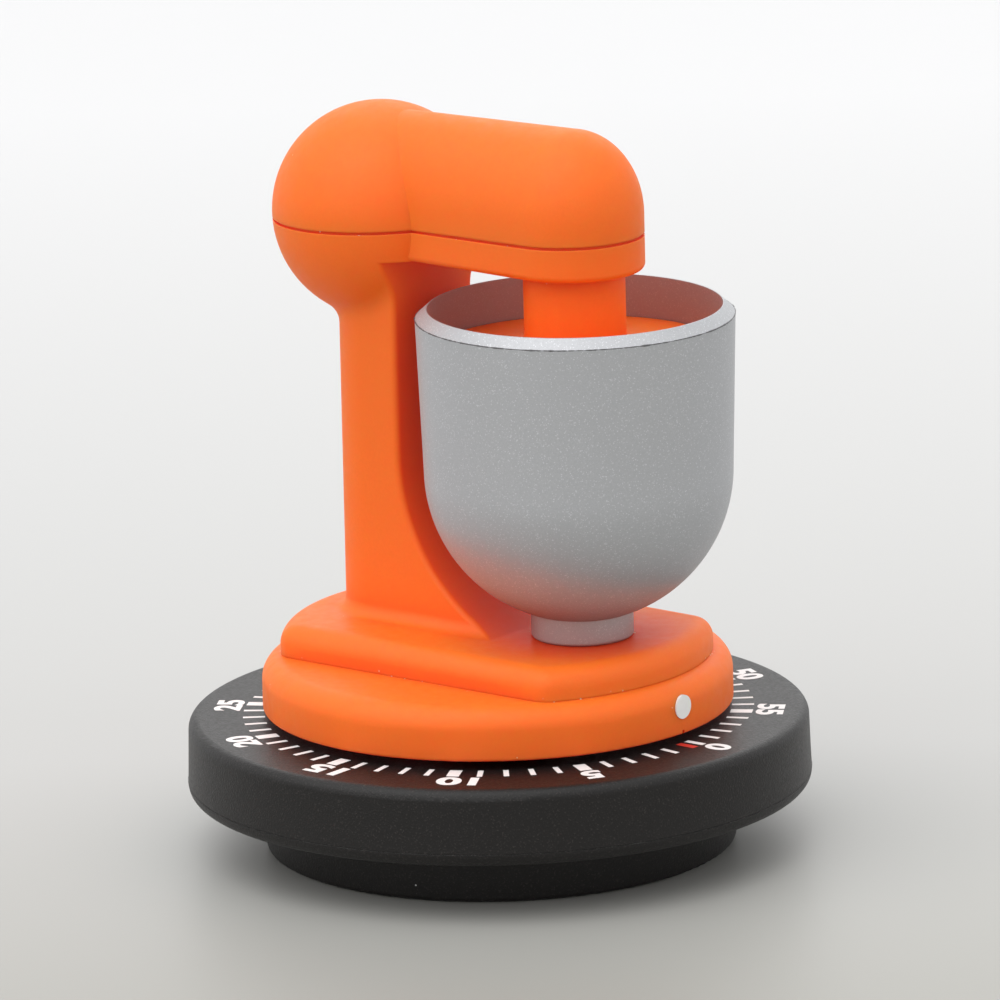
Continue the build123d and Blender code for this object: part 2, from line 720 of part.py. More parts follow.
def clicks_at():
    """Pivots of the two clicks on the great wheel."""
    return [polar(CLICK_AT_R, SECOND_ANGLE + CLICK_START + CLICK_STEP * i) for i in range(CLICKS)]


def clicks():
    """Two pawls on the great wheel that catch the ratchet."""
    low = level(GREAT_LEVEL) + WHEEL_T
    made = []
    for at in clicks_at():
        tip = polar(CLICK_L, bearing(at, knob_at) + CLICK_LEAN, at)
        body = disc(CLICK_EYE_R, low, low + WHEEL_T, at) + bar(at, tip, CLICK_W, low, low + WHEEL_T)
        made.append(body - disc(CLICK_PIN_R, low, low + WHEEL_T, at))
    return made


def click_pins():
    """Rivets that the clicks swing on."""
    low = level(GREAT_LEVEL)
    return [disc(CLICK_PIN_R, low, low + 2 * WHEEL_T, at) for at in clicks_at()]


def strike_cam():
    """Hub with one long finger on the main arbor; the finger trips the hammer at zero."""
    low = level(FINGER_LEVEL)
    tip = polar(FINGER_R - FINGER_W / 2, HAMMER_ANGLE + FINGER_PAST)
    finger = bar(knob_at, tip, FINGER_W, low, low + WHEEL_T)
    return finger + disc(CAM_HUB_R, low, low + WHEEL_T) - disc(MAIN_ARBOR_R, low, low + WHEEL_T)


# ---- escapement ----
def pallet_at():
    """Pallet pins at rest: outside the tooth tips by the clearance and the pin's own swing."""
    toward = bearing(escape_at, lever_at)
    half_span = PALLET_SPAN * 180 / ESCAPE_TEETH
    swing = radians(LEVER_SWING) * ESCAPE_TO_LEVER * sin(radians(half_span))
    radius = ESCAPE_TIP_R + PALLET_PIN_R + PALLET_CLEAR + swing
    return [polar(radius, toward + side * half_span, escape_at) for side in (-1, 1)]


def impulse_at():
    """Impulse pin on the balance roller, at rest on the line from balance to lever."""
    return polar(IMPULSE_AT_R, bearing(balance_at, lever_at), balance_at)


def pallet_lever():
    """Lever with two pallet arms and a fork for the impulse pin."""
    low = level(LEVER_LEVEL)
    high = low + WHEEL_T
    fork_end = polar(FORK_REACH, bearing(lever_at, balance_at), impulse_at())
    body = disc(LEVER_HUB_R, low, high, lever_at) + bar(lever_at, fork_end, FORK_W, low, high)
    for pin in pallet_at():
        body += bar(lever_at, pin, PALLET_ARM_W, low, high)
    slot_start = polar(FORK_REACH, bearing(balance_at, lever_at), impulse_at())
    body -= bar(slot_start, balance_at, 2 * (IMPULSE_R + FORK_CLEAR), low, high)
    for pin in pallet_at():
        body -= disc(PALLET_PIN_R, low, high, pin)
    return body - disc(PIVOT_R, low, high, lever_at)


def pallet_pins():
    """Two hardened pins that hang from the lever into the plane of the escape wheel."""
    low = level(SECOND_WHEEL_LEVEL) - PALLET_PIN_DROP
    return [disc(PALLET_PIN_R, low, level(LEVER_LEVEL) + WHEEL_T, at) for at in pallet_at()]


def lever_arbor():
    """Thin arbor of the pallet lever."""
    body = disc(PIVOT_R, plate_z, upper_z + PLATE_T, lever_at)
    low = level(LEVER_LEVEL)
    return body + disc(ARBOR_R, low - LEVER_COLLAR_H, low, lever_at)


def balance_wheel():
    """Heavy brass rim on three spokes."""
    low = level(BALANCE_LEVEL)
    high = low + BALANCE_T
    body = ring(BALANCE_R, BALANCE_R - BALANCE_RIM, low, high, balance_at)
    for i in range(BALANCE_SPOKES):
        spoke_end = polar(BALANCE_R - BALANCE_RIM / 2, 360 / BALANCE_SPOKES * (i + 0.5), balance_at)
        body += bar(balance_at, spoke_end, BALANCE_SPOKE_W, low, high)
    return body + disc(BALANCE_HUB_R, low, high, balance_at) - disc(ARBOR_R, low, high, balance_at)


def balance_staff():
    """Staff with its pivots, roller and impulse pin."""
    roller_low = level(SECOND_WHEEL_LEVEL)
    roller_high = roller_low + ROLLER_T
    body = disc(PIVOT_R, plate_z, upper_z + PLATE_T, balance_at)
    body += disc(ARBOR_R, works_z + END_SHAKE, roller_low, balance_at)
    body += disc(ROLLER_R, roller_low, roller_high, balance_at)
    return body + disc(IMPULSE_R, roller_high, level(LEVER_LEVEL) + WHEEL_T + END_SHAKE, impulse_at())


def stud_at():
    """Stud outside the last turn of the hairspring."""
    return polar(HAIRSPRING_R + HAIRSPRING_STRIP / 2 + TENON_R, STUD_ANGLE, balance_at)


def hairspring():
    """Fine spiral spring from the balance staff to its stud."""
    inner = ARBOR_R + HAIRSPRING_STRIP / 2
    low = level(HAIRSPRING_LEVEL)
    high = low + HAIRSPRING_H
    turns, strip = HAIRSPRING_TURNS, HAIRSPRING_STRIP
    return spiral_strip(inner, HAIRSPRING_R, turns, strip, STUD_ANGLE, low, high, balance_at)


def hairspring_stud():
    """Stud riveted in the lower plate."""
    return disc(TENON_R, plate_z, level(HAIRSPRING_LEVEL) + HAIRSPRING_H, stud_at())


# ---- strike ----
def bell():
    """Small turned-down cup of hard steel."""
    low = level(BELL_LEVEL)
    outer = make_face(Polyline((0, 0), (BELL_R, 0), (BELL_R, BELL_H), (0, BELL_H), close=True))
    outer = rounded(outer, [(BELL_R, BELL_H, BELL_FILLET)])
    inner_r = BELL_R - BELL_WALL
    inner_h = BELL_H - BELL_WALL
    inner = make_face(Polyline((0, 0), (inner_r, 0), (inner_r, inner_h), (0, inner_h), close=True))
    inner = rounded(inner, [(inner_r, inner_h, BELL_FILLET - BELL_WALL)])
    body = turned(outer - inner) - disc(TENON_R, 0, BELL_H)
    return Pos(bell_at[0], bell_at[1], low) * body


def bell_post():
    """Shouldered post through the bell, riveted over it."""
    top = level(BELL_LEVEL) + BELL_H
    body = disc(TENON_R, plate_z, top, bell_at) + disc(BELL_POST_R, works_z, top - BELL_WALL, bell_at)
    return body + disc(BELL_POST_R, top, top + POST_HEAD_H, bell_at)


def hammer_head_at():
    """Hammer head a strike gap from the bell, on the line that leaves the arm square to the blow."""
    reach = BELL_R + STRIKE_GAP + HAMMER_HEAD_R
    span = hypot(bell_at[0] - hammer_at[0], bell_at[1] - hammer_at[1])
    arm = sqrt(span**2 - reach**2)
    return polar(arm, bearing(hammer_at, bell_at) - degrees(acos(arm / span)), hammer_at)


def hammer():
    """Hammer: head, arm, hub and a tail that reaches to the strike cam's finger."""
    head_low = level(BELL_LEVEL)
    arm_low = head_low + HAMMER_ARM_RISE
    tail_low = level(FINGER_LEVEL)
    hub_high = tail_low + WHEEL_T
    head = hammer_head_at()
    tail = polar(FINGER_R + TAIL_CLEAR + HAMMER_ARM_W / 2, HAMMER_ANGLE)
    body = disc(HAMMER_HUB_R, head_low, hub_high, hammer_at)
    body += bar(hammer_at, head, HAMMER_ARM_W, arm_low, arm_low + HAMMER_ARM_T)
    body += disc(HAMMER_HEAD_R, head_low, head_low + HAMMER_HEAD_H, head)
    body += bar(hammer_at, tail, HAMMER_ARM_W, tail_low, hub_high)
    return body - disc(TENON_R + RUNNING, head_low, hub_high, hammer_at)


def hammer_post():
    """Post that the hammer swings on."""
    top = level(FINGER_LEVEL) + WHEEL_T + END_SHAKE
    high = top + POST_HEAD_H
    return disc(TENON_R, plate_z, high, hammer_at) + disc(HAMMER_HUB_R, top, high, hammer_at)


# ---- knob: turntable and mixer ----
def turntable():
    """Hollow orange disc with a hub for the arbor and ribs round it."""
    outer = make_face(Polyline(
        (0, knob_z), (KNOB_R, knob_z), (KNOB_R, knob_top_z), (0, knob_top_z), close=True))
    outer = rounded(outer, [(KNOB_R, knob_top_z, KNOB_FILLET), (KNOB_R, knob_z, KNOB_EDGE_FILLET)])
    inside_r = KNOB_R - KNOB_WALL
    inside = make_face(Polyline(
        (0, knob_z), (inside_r, knob_z), (inside_r, knob_ceiling_z), (0, knob_ceiling_z), close=True))
    inside = rounded(inside, [(inside_r, knob_ceiling_z, KNOB_FILLET - KNOB_WALL)])
    body = turned(outer - inside) + disc(HUB_R, hub_z, knob_ceiling_z)
    rib_l = inside_r - HUB_R + 2 * JOIN
    rib_h = knob_ceiling_z - hub_z - KNOB_RIB_STEP
    rib = Box(rib_l, KNOB_RIB_W, rib_h, align=(Align.MIN, Align.CENTER, Align.MAX))
    for i in range(KNOB_RIBS):
        body += Rot(0, 0, 360 / KNOB_RIBS * i) * Pos(HUB_R - JOIN, 0, knob_ceiling_z) * rib
    bore = disc(KNOB_SHAFT_R, hub_z, knob_ceiling_z - SHAFT_TOP_GAP)
    flat = Box(2 * KNOB_SHAFT_R, KNOB_SHAFT_R, KNOB_H, align=(Align.CENTER, Align.MIN, Align.MIN))
    body -= bore - Pos(0, KNOB_SHAFT_FLAT, hub_z) * flat
    for at in knob_screws_at:
        body -= disc(KNOB_SCREW_R, knob_ceiling_z, knob_top_z, at)
    body -= Pos(0, -KNOB_R, dot_z) * Rot(90, 0, 0) * Cylinder(DOT_R, 2 * DOT_DEPTH)
    notch = Box(NOTCH_W, 2 * NOTCH_DEPTH, NOTCH_H, align=(Align.CENTER, Align.CENTER, Align.MIN))
    return body - Pos(0, -KNOB_R, knob_z) * notch


def pointer_dot():
    """White plug in the turntable's side that points at the set time."""
    length = DOT_DEPTH + DOT_PROUD
    plug = Cylinder(DOT_R, length, align=(Align.CENTER, Align.CENTER, Align.MIN))
    return Pos(0, -KNOB_R + DOT_DEPTH, dot_z) * Rot(90, 0, 0) * plug


def turntable_screws():
    """Screws from under the turntable into the plinth."""
    return [screw(at, knob_ceiling_z, KNOB_SCREW_L, KNOB_SCREW_R) for at in knob_screws_at]


def plinth_outline(inset):
    """Round plinth cut off straight at both sides, a little narrower in front."""
    reach = plinth_r + JOIN
    rear_w = PLINTH_REAR_W / 2 - inset
    front_w = PLINTH_FRONT_W / 2 - inset
    band = make_face(Polyline(
        (-rear_w, reach), (rear_w, reach), (front_w, -reach), (-front_w, -reach), close=True))
    face = Circle(plinth_r - inset) & band
    return fillet(face.vertices(), max(PLINTH_CORNER - inset, PLINTH_CORNER_IN))


def column_side(inset):
    """Side view of the column: straight back, and a front that curves out under the bowl."""
    reach = column_front_y - BOWL_Y + inset
    low = plinth_z - JOIN
    drop = bowl_ball_z - low
    toe_y = BOWL_Y + sqrt(reach**2 - drop**2)
    mid_angle = radians(-45)
    mid = (BOWL_Y + reach * cos(mid_angle), bowl_ball_z + reach * sin(mid_angle))
    front_y = column_front_y + inset
    rear_y = COLUMN_REAR_Y - inset
    foot_y = rear_y + COLUMN_LEAN
    top = head_z - HEAD_R / 3
    return make_face([
        Line((foot_y, low), (rear_y, top)),
        Line((rear_y, top), (front_y, top)),
        Line((front_y, top), (front_y, bowl_ball_z)),
        ThreePointArc((front_y, bowl_ball_z), mid, (toe_y, low)),
        Line((toe_y, low), (foot_y, low)),
    ])


def column(inset):
    """Upright column with a well rounded back."""
    half_w = COLUMN_W / 2 - inset
    body = extrude(Plane.YZ * column_side(inset), half_w, both=True)
    upright = side_edges(body, half_w).filter_by(lambda e: e.center().Y > COLUMN_REAR_Y - inset)
    return fillet(upright, COLUMN_REAR_FILLET - inset)


def side_edges(body, half_w):
    """Edges along the two flat sides of the column, above the plinth."""
    high = body.edges().filter_by(lambda e: e.length > COLUMN_REAR_FILLET and e.center().Z > plinth_z + 1)
    return high.filter_by(lambda e: abs(abs(e.center().X) - half_w) < TOUCH)


def column_on_plinth():
    """Plinth and column with the soft corner between them."""
    plinth = slab(plinth_outline(0), knob_top_z, plinth_z)
    plinth = fillet(plinth.edges().group_by(Axis.Z)[-1], PLINTH_FILLET)
    body = plinth + column(0)
    half_w = COLUMN_W / 2
    foot = body.edges().filter_by(lambda e: abs(e.center().Z - plinth_z) < TOUCH)
    return fillet(foot.filter_by(lambda e: abs(e.center().X) < half_w + TOUCH), COLUMN_FOOT_FILLET)


def soften_front(body):
    """Round the outline of the column's front face, from the plinth up to the chin."""
    curved = side_edges(body, COLUMN_W / 2).filter_by(lambda e: e.center().Y < column_front_y - TOUCH)
    flat = body.edges().filter_by(lambda e: abs(e.bounding_box().min.Y - column_front_y) < TOUCH)
    flat = flat.filter_by(lambda e: abs(e.bounding_box().max.Y - column_front_y) < TOUCH)
    upright = flat.filter_by(lambda e: e.bounding_box().size.Z > TOUCH and e.center().Z < chin_z)
    return fillet(curved + upright, COLUMN_EDGE_FILLET)


def barrel_outline(inset):
    """Plan of the barrel: tapering sides and a round nose."""
    nose_w = BARREL_NOSE_W / 2 - inset
    rear_w = BARREL_REAR_W / 2 - inset
    sides = make_face(Polyline(
        (-nose_w, BOWL_Y), (nose_w, BOWL_Y), (rear_w, head_y), (-rear_w, head_y), close=True))
    return sides + Pos(0, BOWL_Y) * Circle(nose_w)


def head_outline(inset):
    """Plan of the whole head at the seam."""
    ball_r = sqrt(HEAD_R**2 - (head_z - seam_z) ** 2) - inset
    return barrel_outline(inset) + Pos(0, head_y) * Circle(ball_r)


def above(height, tilt=0.0):
    """Everything higher than a plane, for trimming; a tilted plane rises towards the nose."""
    side = 4 * CASE_R
    block = Box(side, side, side, align=(Align.CENTER, Align.CENTER, Align.MIN))
    return Pos(0, column_front_y, height) * Rot(-tilt, 0, 0) * block


def barrel_top(inset):
    """Barrel and nose above their upright sides."""
    slope = (BARREL_NOSE_H - BARREL_REAR_H) / (BARREL_REAR_Y - BOWL_Y)
    deep_h = BARREL_REAR_H - slope * (head_y - BARREL_REAR_Y)
    rear = Ellipse(BARREL_REAR_W / 2 - inset, deep_h - BARREL_SIDE_H - inset)
    nose = Ellipse(BARREL_NOSE_W / 2 - inset, BARREL_NOSE_H - BARREL_SIDE_H - inset)
    upright = Rot(90, 0, 0)
    barrel = loft([
        Pos(0, head_y, barrel_side_z) * upright * rear,
        Pos(0, BOWL_Y, barrel_side_z) * upright * nose,
    ])
    half = nose & Pos(BARREL_NOSE_W / 2, 0) * Rectangle(BARREL_NOSE_W, 3 * BARREL_NOSE_H)
    dome = Pos(0, BOWL_Y, barrel_side_z) * revolve(Plane.XZ * half, Axis.Z)
    return (barrel + dome) & above(barrel_side_z)


def ball(inset):
    """Ball at the rear of the head, cut square in front of the column and below the chin."""
    whole = Pos(0, head_y, head_z) * Sphere(HEAD_R - inset)
    corner = Box(2 * HEAD_R, HEAD_R, HEAD_R, align=(Align.CENTER, Align.MAX, Align.MAX))
    return whole - Pos(0, column_front_y + inset, chin_z + inset) * corner


def head(inset):
    """The whole head: ball, barrel and the upright band that carries the seam."""
    band = slab(barrel_outline(inset), chin_z + inset, barrel_side_z)
    if inset == 0:
        chin = band.edges().group_by(Axis.Z)[0].filter_by(lambda e: e.center().Y < head_y - 1)
        band = fillet(chin, CHIN_FILLET)
    return barrel_top(inset) + band + ball(inset)


def head_cover():
    """Upper half of the head: a thin shell."""
    return (head(0) - head(BODY_WALL)) & above(seam_z + SEAM_GAP / 2, SEAM_TILT)


def lower_head(inset, height):
    """Head below the seam; its inset part is the step that the cover rests on."""
    return head(inset) - above(height, SEAM_TILT)


def head_lip():
    """Lip inside the seam that the cover sits over."""
    inset = BODY_WALL + CASE_FIT
    inner = head_outline(inset + LIP_WALL)
    low = seam_z - SEAM_GAP
    high = seam_z + SEAM_GAP + LIP_H
    root = slab(head_outline(BODY_WALL / 2) - inner, low - LIP_WALL, low)
    root -= above(seam_z - SEAM_GAP / 2, SEAM_TILT)
    return root + slab(head_outline(inset) - inner, low - LIP_WALL, high)


def mixer_body():
    """Plinth, column and lower head in one hollow moulding."""
    body = column_on_plinth() + lower_head(0, seam_z - SEAM_GAP / 2)
    rear = body.edges().filter_by(lambda e: e.center().Y > column_front_y - HEAD_R / 2)
    high = rear.filter_by(lambda e: e.center().Z > head_z - HEAD_R)
    body = fillet(high.filter_by(lambda e: e.bounding_box().max.Z < chin_z - 1), COLUMN_TOP_FILLET)
    body = soften_front(body) + lower_head(SEAM_DEPTH, seam_z + SEAM_GAP / 2)
    hollow = slab(plinth_outline(BODY_WALL), knob_top_z, plinth_ceiling_z)
    body -= hollow + column(BODY_WALL)
    body -= head(BODY_WALL)
    body += head_lip()
    for at in knob_screws_at:
        body += disc(KNOB_SCREW_R + BOSS_WALL, knob_top_z, plinth_ceiling_z, at)
    for at in knob_screws_at:
        body -= disc(KNOB_SCREW_R, knob_top_z, knob_ceiling_z + KNOB_SCREW_L, at)
    body -= disc(BOWL_SCREW_R, plinth_ceiling_z, plinth_z, (0, BOWL_Y))
    return body - disc(POST_SCREW_R, chin_z, chin_z + BODY_WALL, (0, BOWL_Y))


def bowl():
    """Bowl with a half-ball bottom, slightly flared sides, a chamfered rim and a short foot."""
    side_z = bowl_top_z - BOWL_CHAMFER_H
    low = sin(radians(45)) * BOWL_R
    inner_r = BOWL_R - BOWL_WALL
    inner_low = sin(radians(45)) * inner_r
    outer = make_face([
        Line((0, plinth_z), (BOWL_FOOT_R, plinth_z)),
        Line((BOWL_FOOT_R, plinth_z), (BOWL_FOOT_R, foot_top_z)),
        ThreePointArc((BOWL_FOOT_R, foot_top_z), (low, bowl_ball_z - low), (BOWL_R, bowl_ball_z)),
        Line((BOWL_R, bowl_ball_z), (bowl_rim_r, side_z)),
        Line((bowl_rim_r, side_z), (bowl_mouth_r, bowl_top_z)),
        Line((bowl_mouth_r, bowl_top_z), (0, bowl_top_z)),
        Line((0, bowl_top_z), (0, plinth_z)),
    ])
    inner = make_face([
        Line((0, bowl_ball_z - inner_r), (0, bowl_top_z)),
        Line((0, bowl_top_z), (bowl_mouth_r - BOWL_LIP_EDGE, bowl_top_z)),
        Line((bowl_mouth_r - BOWL_LIP_EDGE, bowl_top_z), (inner_r, bowl_ball_z)),
        ThreePointArc(
            (inner_r, bowl_ball_z), (inner_low, bowl_ball_z - inner_low), (0, bowl_ball_z - inner_r)),
    ])
    outer = rounded(outer, [
        (BOWL_FOOT_R, plinth_z, BOWL_FOOT_FILLET), (bowl_rim_r, side_z, BOWL_RIM_FILLET)])
    body = turned(outer - inner, (0, BOWL_Y))
    return body - disc(BOWL_SCREW_R, plinth_z, plinth_ceiling_z + BOWL_SCREW_L, (0, BOWL_Y))


def fill_r():
    """Radius of the disc in the bowl: the bowl's inside at the disc's underside less a gap."""
    share = (fill_z - FILL_T - bowl_ball_z) / (bowl_top_z - bowl_ball_z)
    inner_r = BOWL_R - BOWL_WALL
    return inner_r + share * (bowl_mouth_r - BOWL_LIP_EDGE - inner_r) - FILL_GAP


def beater_post():
    """Post under the chin with the disc that closes the bowl below its rim."""
    at = (0, BOWL_Y)
    low = fill_z - FILL_T
    body = disc(POST_R, low, chin_z, at) + disc(fill_r(), low, fill_z, at)
    return body - disc(POST_SCREW_R, chin_z + BODY_WALL - POST_SCREW_L, chin_z, at)


def bowl_screw():
    """Screw from inside the plinth up into the bowl's foot."""
    return screw((0, BOWL_Y), plinth_ceiling_z, BOWL_SCREW_L, BOWL_SCREW_R)


def post_screw():
    """Screw from inside the head down into the beater post."""
    return screw((0, BOWL_Y), chin_z + BODY_WALL, POST_SCREW_L, POST_SCREW_R, up=False)


def main():
    os.makedirs("parts", exist_ok=True)
    for make in NODES:
        made = make()
        shape = Compound(children=made) if isinstance(made, list) else made
        export_step(shape, f"parts/{make.__name__}.step")


NODES = [
    dial_housing, base_housing, grip_ring, housing_screws,
    lower_plate, upper_plate, plate_pillars, pillar_nuts, movement_screws,
    main_arbor, mainspring, spring_post, ratchet_wheel, clicks, click_pins, strike_cam,
    great_wheel, second_pinion, second_wheel, third_pinion, third_wheel, escape_pinion, escape_wheel,
    pallet_lever, pallet_pins, lever_arbor, balance_wheel, balance_staff, hairspring, hairspring_stud,
    bell, bell_post, hammer, hammer_post,
    turntable, pointer_dot, turntable_screws, mixer_body, head_cover,
    bowl, bowl_screw, beater_post, post_screw,
]

main()
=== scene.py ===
"""Looks of a wind-up kitchen timer: materials for the moulded, printed and metal parts, the printed
dial, the flash left by the moulds, and a plain pale studio seen from the photograph's angle."""

import json
from math import cos, pi, radians, sin

import bmesh
import bpy
from mathutils import Matrix, Vector, noise


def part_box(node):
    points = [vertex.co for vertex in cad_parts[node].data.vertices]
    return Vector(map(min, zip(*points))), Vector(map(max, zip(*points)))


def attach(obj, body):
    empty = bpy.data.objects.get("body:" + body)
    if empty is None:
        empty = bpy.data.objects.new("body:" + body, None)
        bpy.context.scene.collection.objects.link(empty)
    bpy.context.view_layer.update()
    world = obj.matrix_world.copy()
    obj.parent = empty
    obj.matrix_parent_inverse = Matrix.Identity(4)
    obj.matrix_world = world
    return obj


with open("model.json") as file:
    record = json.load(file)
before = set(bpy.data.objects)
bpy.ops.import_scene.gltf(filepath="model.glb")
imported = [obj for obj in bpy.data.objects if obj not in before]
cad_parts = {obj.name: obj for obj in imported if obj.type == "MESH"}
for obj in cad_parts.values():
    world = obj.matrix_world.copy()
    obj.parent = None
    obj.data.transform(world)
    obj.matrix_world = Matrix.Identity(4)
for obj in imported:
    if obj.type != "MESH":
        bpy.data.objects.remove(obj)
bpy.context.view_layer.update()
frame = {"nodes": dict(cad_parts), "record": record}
mm = 0.001

# ---- the dial's print, in metres and degrees ----
COLLAR_H = 0.8 * mm               # arbor collar above the dial face
INK_H = 0.02 * mm                 # ink above the face
INK_SUNK = 0.02 * mm
MINUTES = 60
NUMERAL_EVERY = 5
ZERO_ANGLE = -91.5                # red mark, seen from above
MINUTE = -5.95                    # degrees for a minute: sixty end just short of a full turn
TICK_IN_R = 28.05 * mm
TICK_OUT_R = 30.70 * mm
TICK_W = 0.65 * mm
FIVE_TICK_W = 1.5 * mm
LAST_TICK_W = 0.8 * mm            # at sixty, beside the red mark
RED_MARK_W = 0.95 * mm
NUMERAL_R = 32.75 * mm
NUMERAL_H = 3.35 * mm
NUMERAL_W = 2.45 * mm             # one digit
NUMERAL_BOLD = 0.04               # share of the type size that each stroke is thickened by
NUMERAL_STEPS = 6                 # in each curve of a numeral
TWO_DIGIT_TURN = 1.6              # two-digit numerals stand this much anticlockwise of their ticks
ZERO_TURN = 3                     # and the zero by this much

# ---- mould flash ----
BOWL_CHAMFER_H = 1.2 * mm
FLASH_R = 0.07 * mm
FLASH_SUNK = 0.02 * mm            # bead's centre behind the bowl's edge
PARTING_R = 0.04 * mm
BEAD_ROUGH = 0.9                  # share of the bead's thickness that it varies by
BEAD_WAVES = (14, 47)             # long and short waves of its thickness
BEAD_STEPS = 360
BEAD_SIDES = 6

# ---- camera ----
LENS = 339.2                      # focal length and sensor width, both in millimetres
SENSOR = 36.0
VIEW_TURN = radians(-50.5)        # round the object, from straight in front of the mixer's nose
VIEW_PITCH = radians(13.777)
VIEW_ROLL = radians(-1.519)
CAMERA_AT = Vector((0.84, -1093.30, 310.07)) * mm     # before that turn
CAMERA_REACH = 50                 # metres

# ---- studio ----
FLOOR_SIZE = 14                   # metres
# painted shade on the floor in front of the object
FLOOR_FRONT_PAINTED_SHADE = (0.33, 0.325, 0.3)
FLOOR_NEAR = (0.43, 0.43, 0.42)
FLOOR_FAR = (0.58, 0.58, 0.585)
# distances behind the object's axis where the floor turns from the painted shade in front to near,
# and from near to far
FRONT_SWEEP = (-70 * mm, 40 * mm)
FAR_SWEEP = (60 * mm, 450 * mm)
SKY = 0.95
# name, degrees to the right of the camera, degrees up, size in degrees, strength
LAMPS = [
    ("key", -50, 52, 70, 1.2),
    ("fill", 60, 35, 60, 0.12),
    ("overhead", 0, 80, 70, 0.6),
    ("behind", 170, 35, 50, 0.45),
]


# ---- node helpers ----
EDGE_SAMPLES = 6
HOLLOW_SAMPLES = 8
CALM = 0.3                        # noise mostly stays between this and 1 - this
SPECK_CORE = 0.6                  # share of a speck's radius that has its full colour
SPECK_EDGE = 0.01                 # share of the cells whose speck is a faint one


def node(tree, kind, sockets=(), **settings):
    """Add a node, set its sockets by name and its properties."""
    made = tree.nodes.new(kind)
    for name, value in settings.items():
        setattr(made, name, value)
    for name, value in dict(sockets).items():
        if isinstance(value, bpy.types.NodeSocket):
            tree.links.new(value, made.inputs[name])
        else:
            made.inputs[name].default_value = value
    return made


def material(name, colour, roughness, **sockets):
    """A material with one Principled shader, whose sockets hold plain values under any texture."""
    made = bpy.data.materials.new(name)
    made.use_nodes = True
    made.diffuse_color = (*colour, 1)
    shader = made.node_tree.nodes["Principled BSDF"]
    shader.inputs["Base Color"].default_value = (*colour, 1)
    shader.inputs["Roughness"].default_value = roughness
    for socket, value in sockets.items():
        shader.inputs[socket.replace("_", " ")].default_value = value
    return made, made.node_tree, shader


def place(tree, stretch=(1, 1, 1)):
    """Position on the piece in metres, stretched along an axis for a grain."""
    at = node(tree, "ShaderNodeTexCoord").outputs["Object"]
    return node(tree, "ShaderNodeMapping", {"Vector": at, "Scale": stretch}).outputs["Vector"]


def grain(tree, at, size, detail=3.0, rough=0.55):
    """Cloudy noise with features of a size in metres."""
    sockets = {"Vector": at, "Scale": 1 / size, "Detail": detail, "Roughness": rough}
    return node(tree, "ShaderNodeTexNoise", sockets).outputs["Fac"]


def cells(tree, at, size):
    """Random cells of a size in metres."""
    return node(tree, "ShaderNodeTexVoronoi", {"Vector": at, "Scale": 1 / size})


def remap(tree, value, low, high, to_low=0.0, to_high=1.0):
    """Stretch a value from one range to another, held at the ends."""
    ends = {"From Min": low, "From Max": high, "To Min": to_low, "To Max": to_high}
    return node(tree, "ShaderNodeMapRange", {"Value": value, **ends}).outputs["Result"]


def uneven(tree, at, size, low, high):
    """A value that wanders between two limits over a size."""
    return remap(tree, grain(tree, at, size), CALM, 1 - CALM, low, high)


def times(tree, a, b):
    """Product of two values."""
    made = node(tree, "ShaderNodeMath", operation="MULTIPLY")
    for socket, value in zip(made.inputs, (a, b)):
        tree.links.new(value, socket)
    return made.outputs["Value"]


def tint(tree, share, a, b):
    """Colour between a and b by a share."""
    made = node(tree, "ShaderNodeMix", data_type="RGBA")
    tree.links.new(share, made.inputs["Factor"])
    for socket, colour in zip((made.inputs[6], made.inputs[7]), (a, b)):
        if isinstance(colour, bpy.types.NodeSocket):
            tree.links.new(colour, socket)
        else:
            socket.default_value = (*colour, 1)
    return made.outputs[2]


def soft_edges(tree, radius):
    """Normal that rounds the edges by a radius in metres."""
    return node(tree, "ShaderNodeBevel", {"Radius": radius}, samples=EDGE_SAMPLES).outputs["Normal"]


def bump(tree, height, depth, strength, under=None):
    """Normal raised by a height, laid over another normal."""
    sockets = {"Height": height, "Distance": depth, "Strength": strength}
    if under is not None:
        sockets["Normal"] = under
    return node(tree, "ShaderNodeBump", sockets).outputs["Normal"]


def hollows(tree, reach, low, high):
    """1 where other surfaces close in within a reach, 0 in the open."""
    made = node(tree, "ShaderNodeAmbientOcclusion", {"Distance": reach}, samples=HOLLOW_SAMPLES)
    return remap(tree, made.outputs["AO"], low, high, 1.0, 0.0)


def lot(tree, found):
    """Random number from 0 to 1 drawn by each cell."""
    return node(tree, "ShaderNodeSeparateColor", {"Color": found.outputs["Color"]}).outputs["Red"]


def specks(tree, at, spacing, size, share):
    """1 on small dots of a size; a share of the cells has one."""
    found = cells(tree, at, spacing)
    near = remap(tree, found.outputs["Distance"], size / spacing, SPECK_CORE * size / spacing)
    return times(tree, near, remap(tree, lot(tree, found), share, share - SPECK_EDGE))


def shade(colour, factor):
    """A colour made darker or lighter."""
    return tuple(min(1.0, c * factor) for c in colour)


def feed(tree, shader, colour, roughness, normal):
    """Give a shader its colour, roughness and normal."""
    tree.links.new(colour, shader.inputs["Base Color"])
    tree.links.new(roughness, shader.inputs["Roughness"])
    tree.links.new(normal, shader.inputs["Normal"])


# ---- materials ----
FINE_DUST = (0.95, 0.55, 0.35)
CRUMBS = (0.95, 0.8, 0.7)
GREY_DUST = (0.5, 0.5, 0.5)


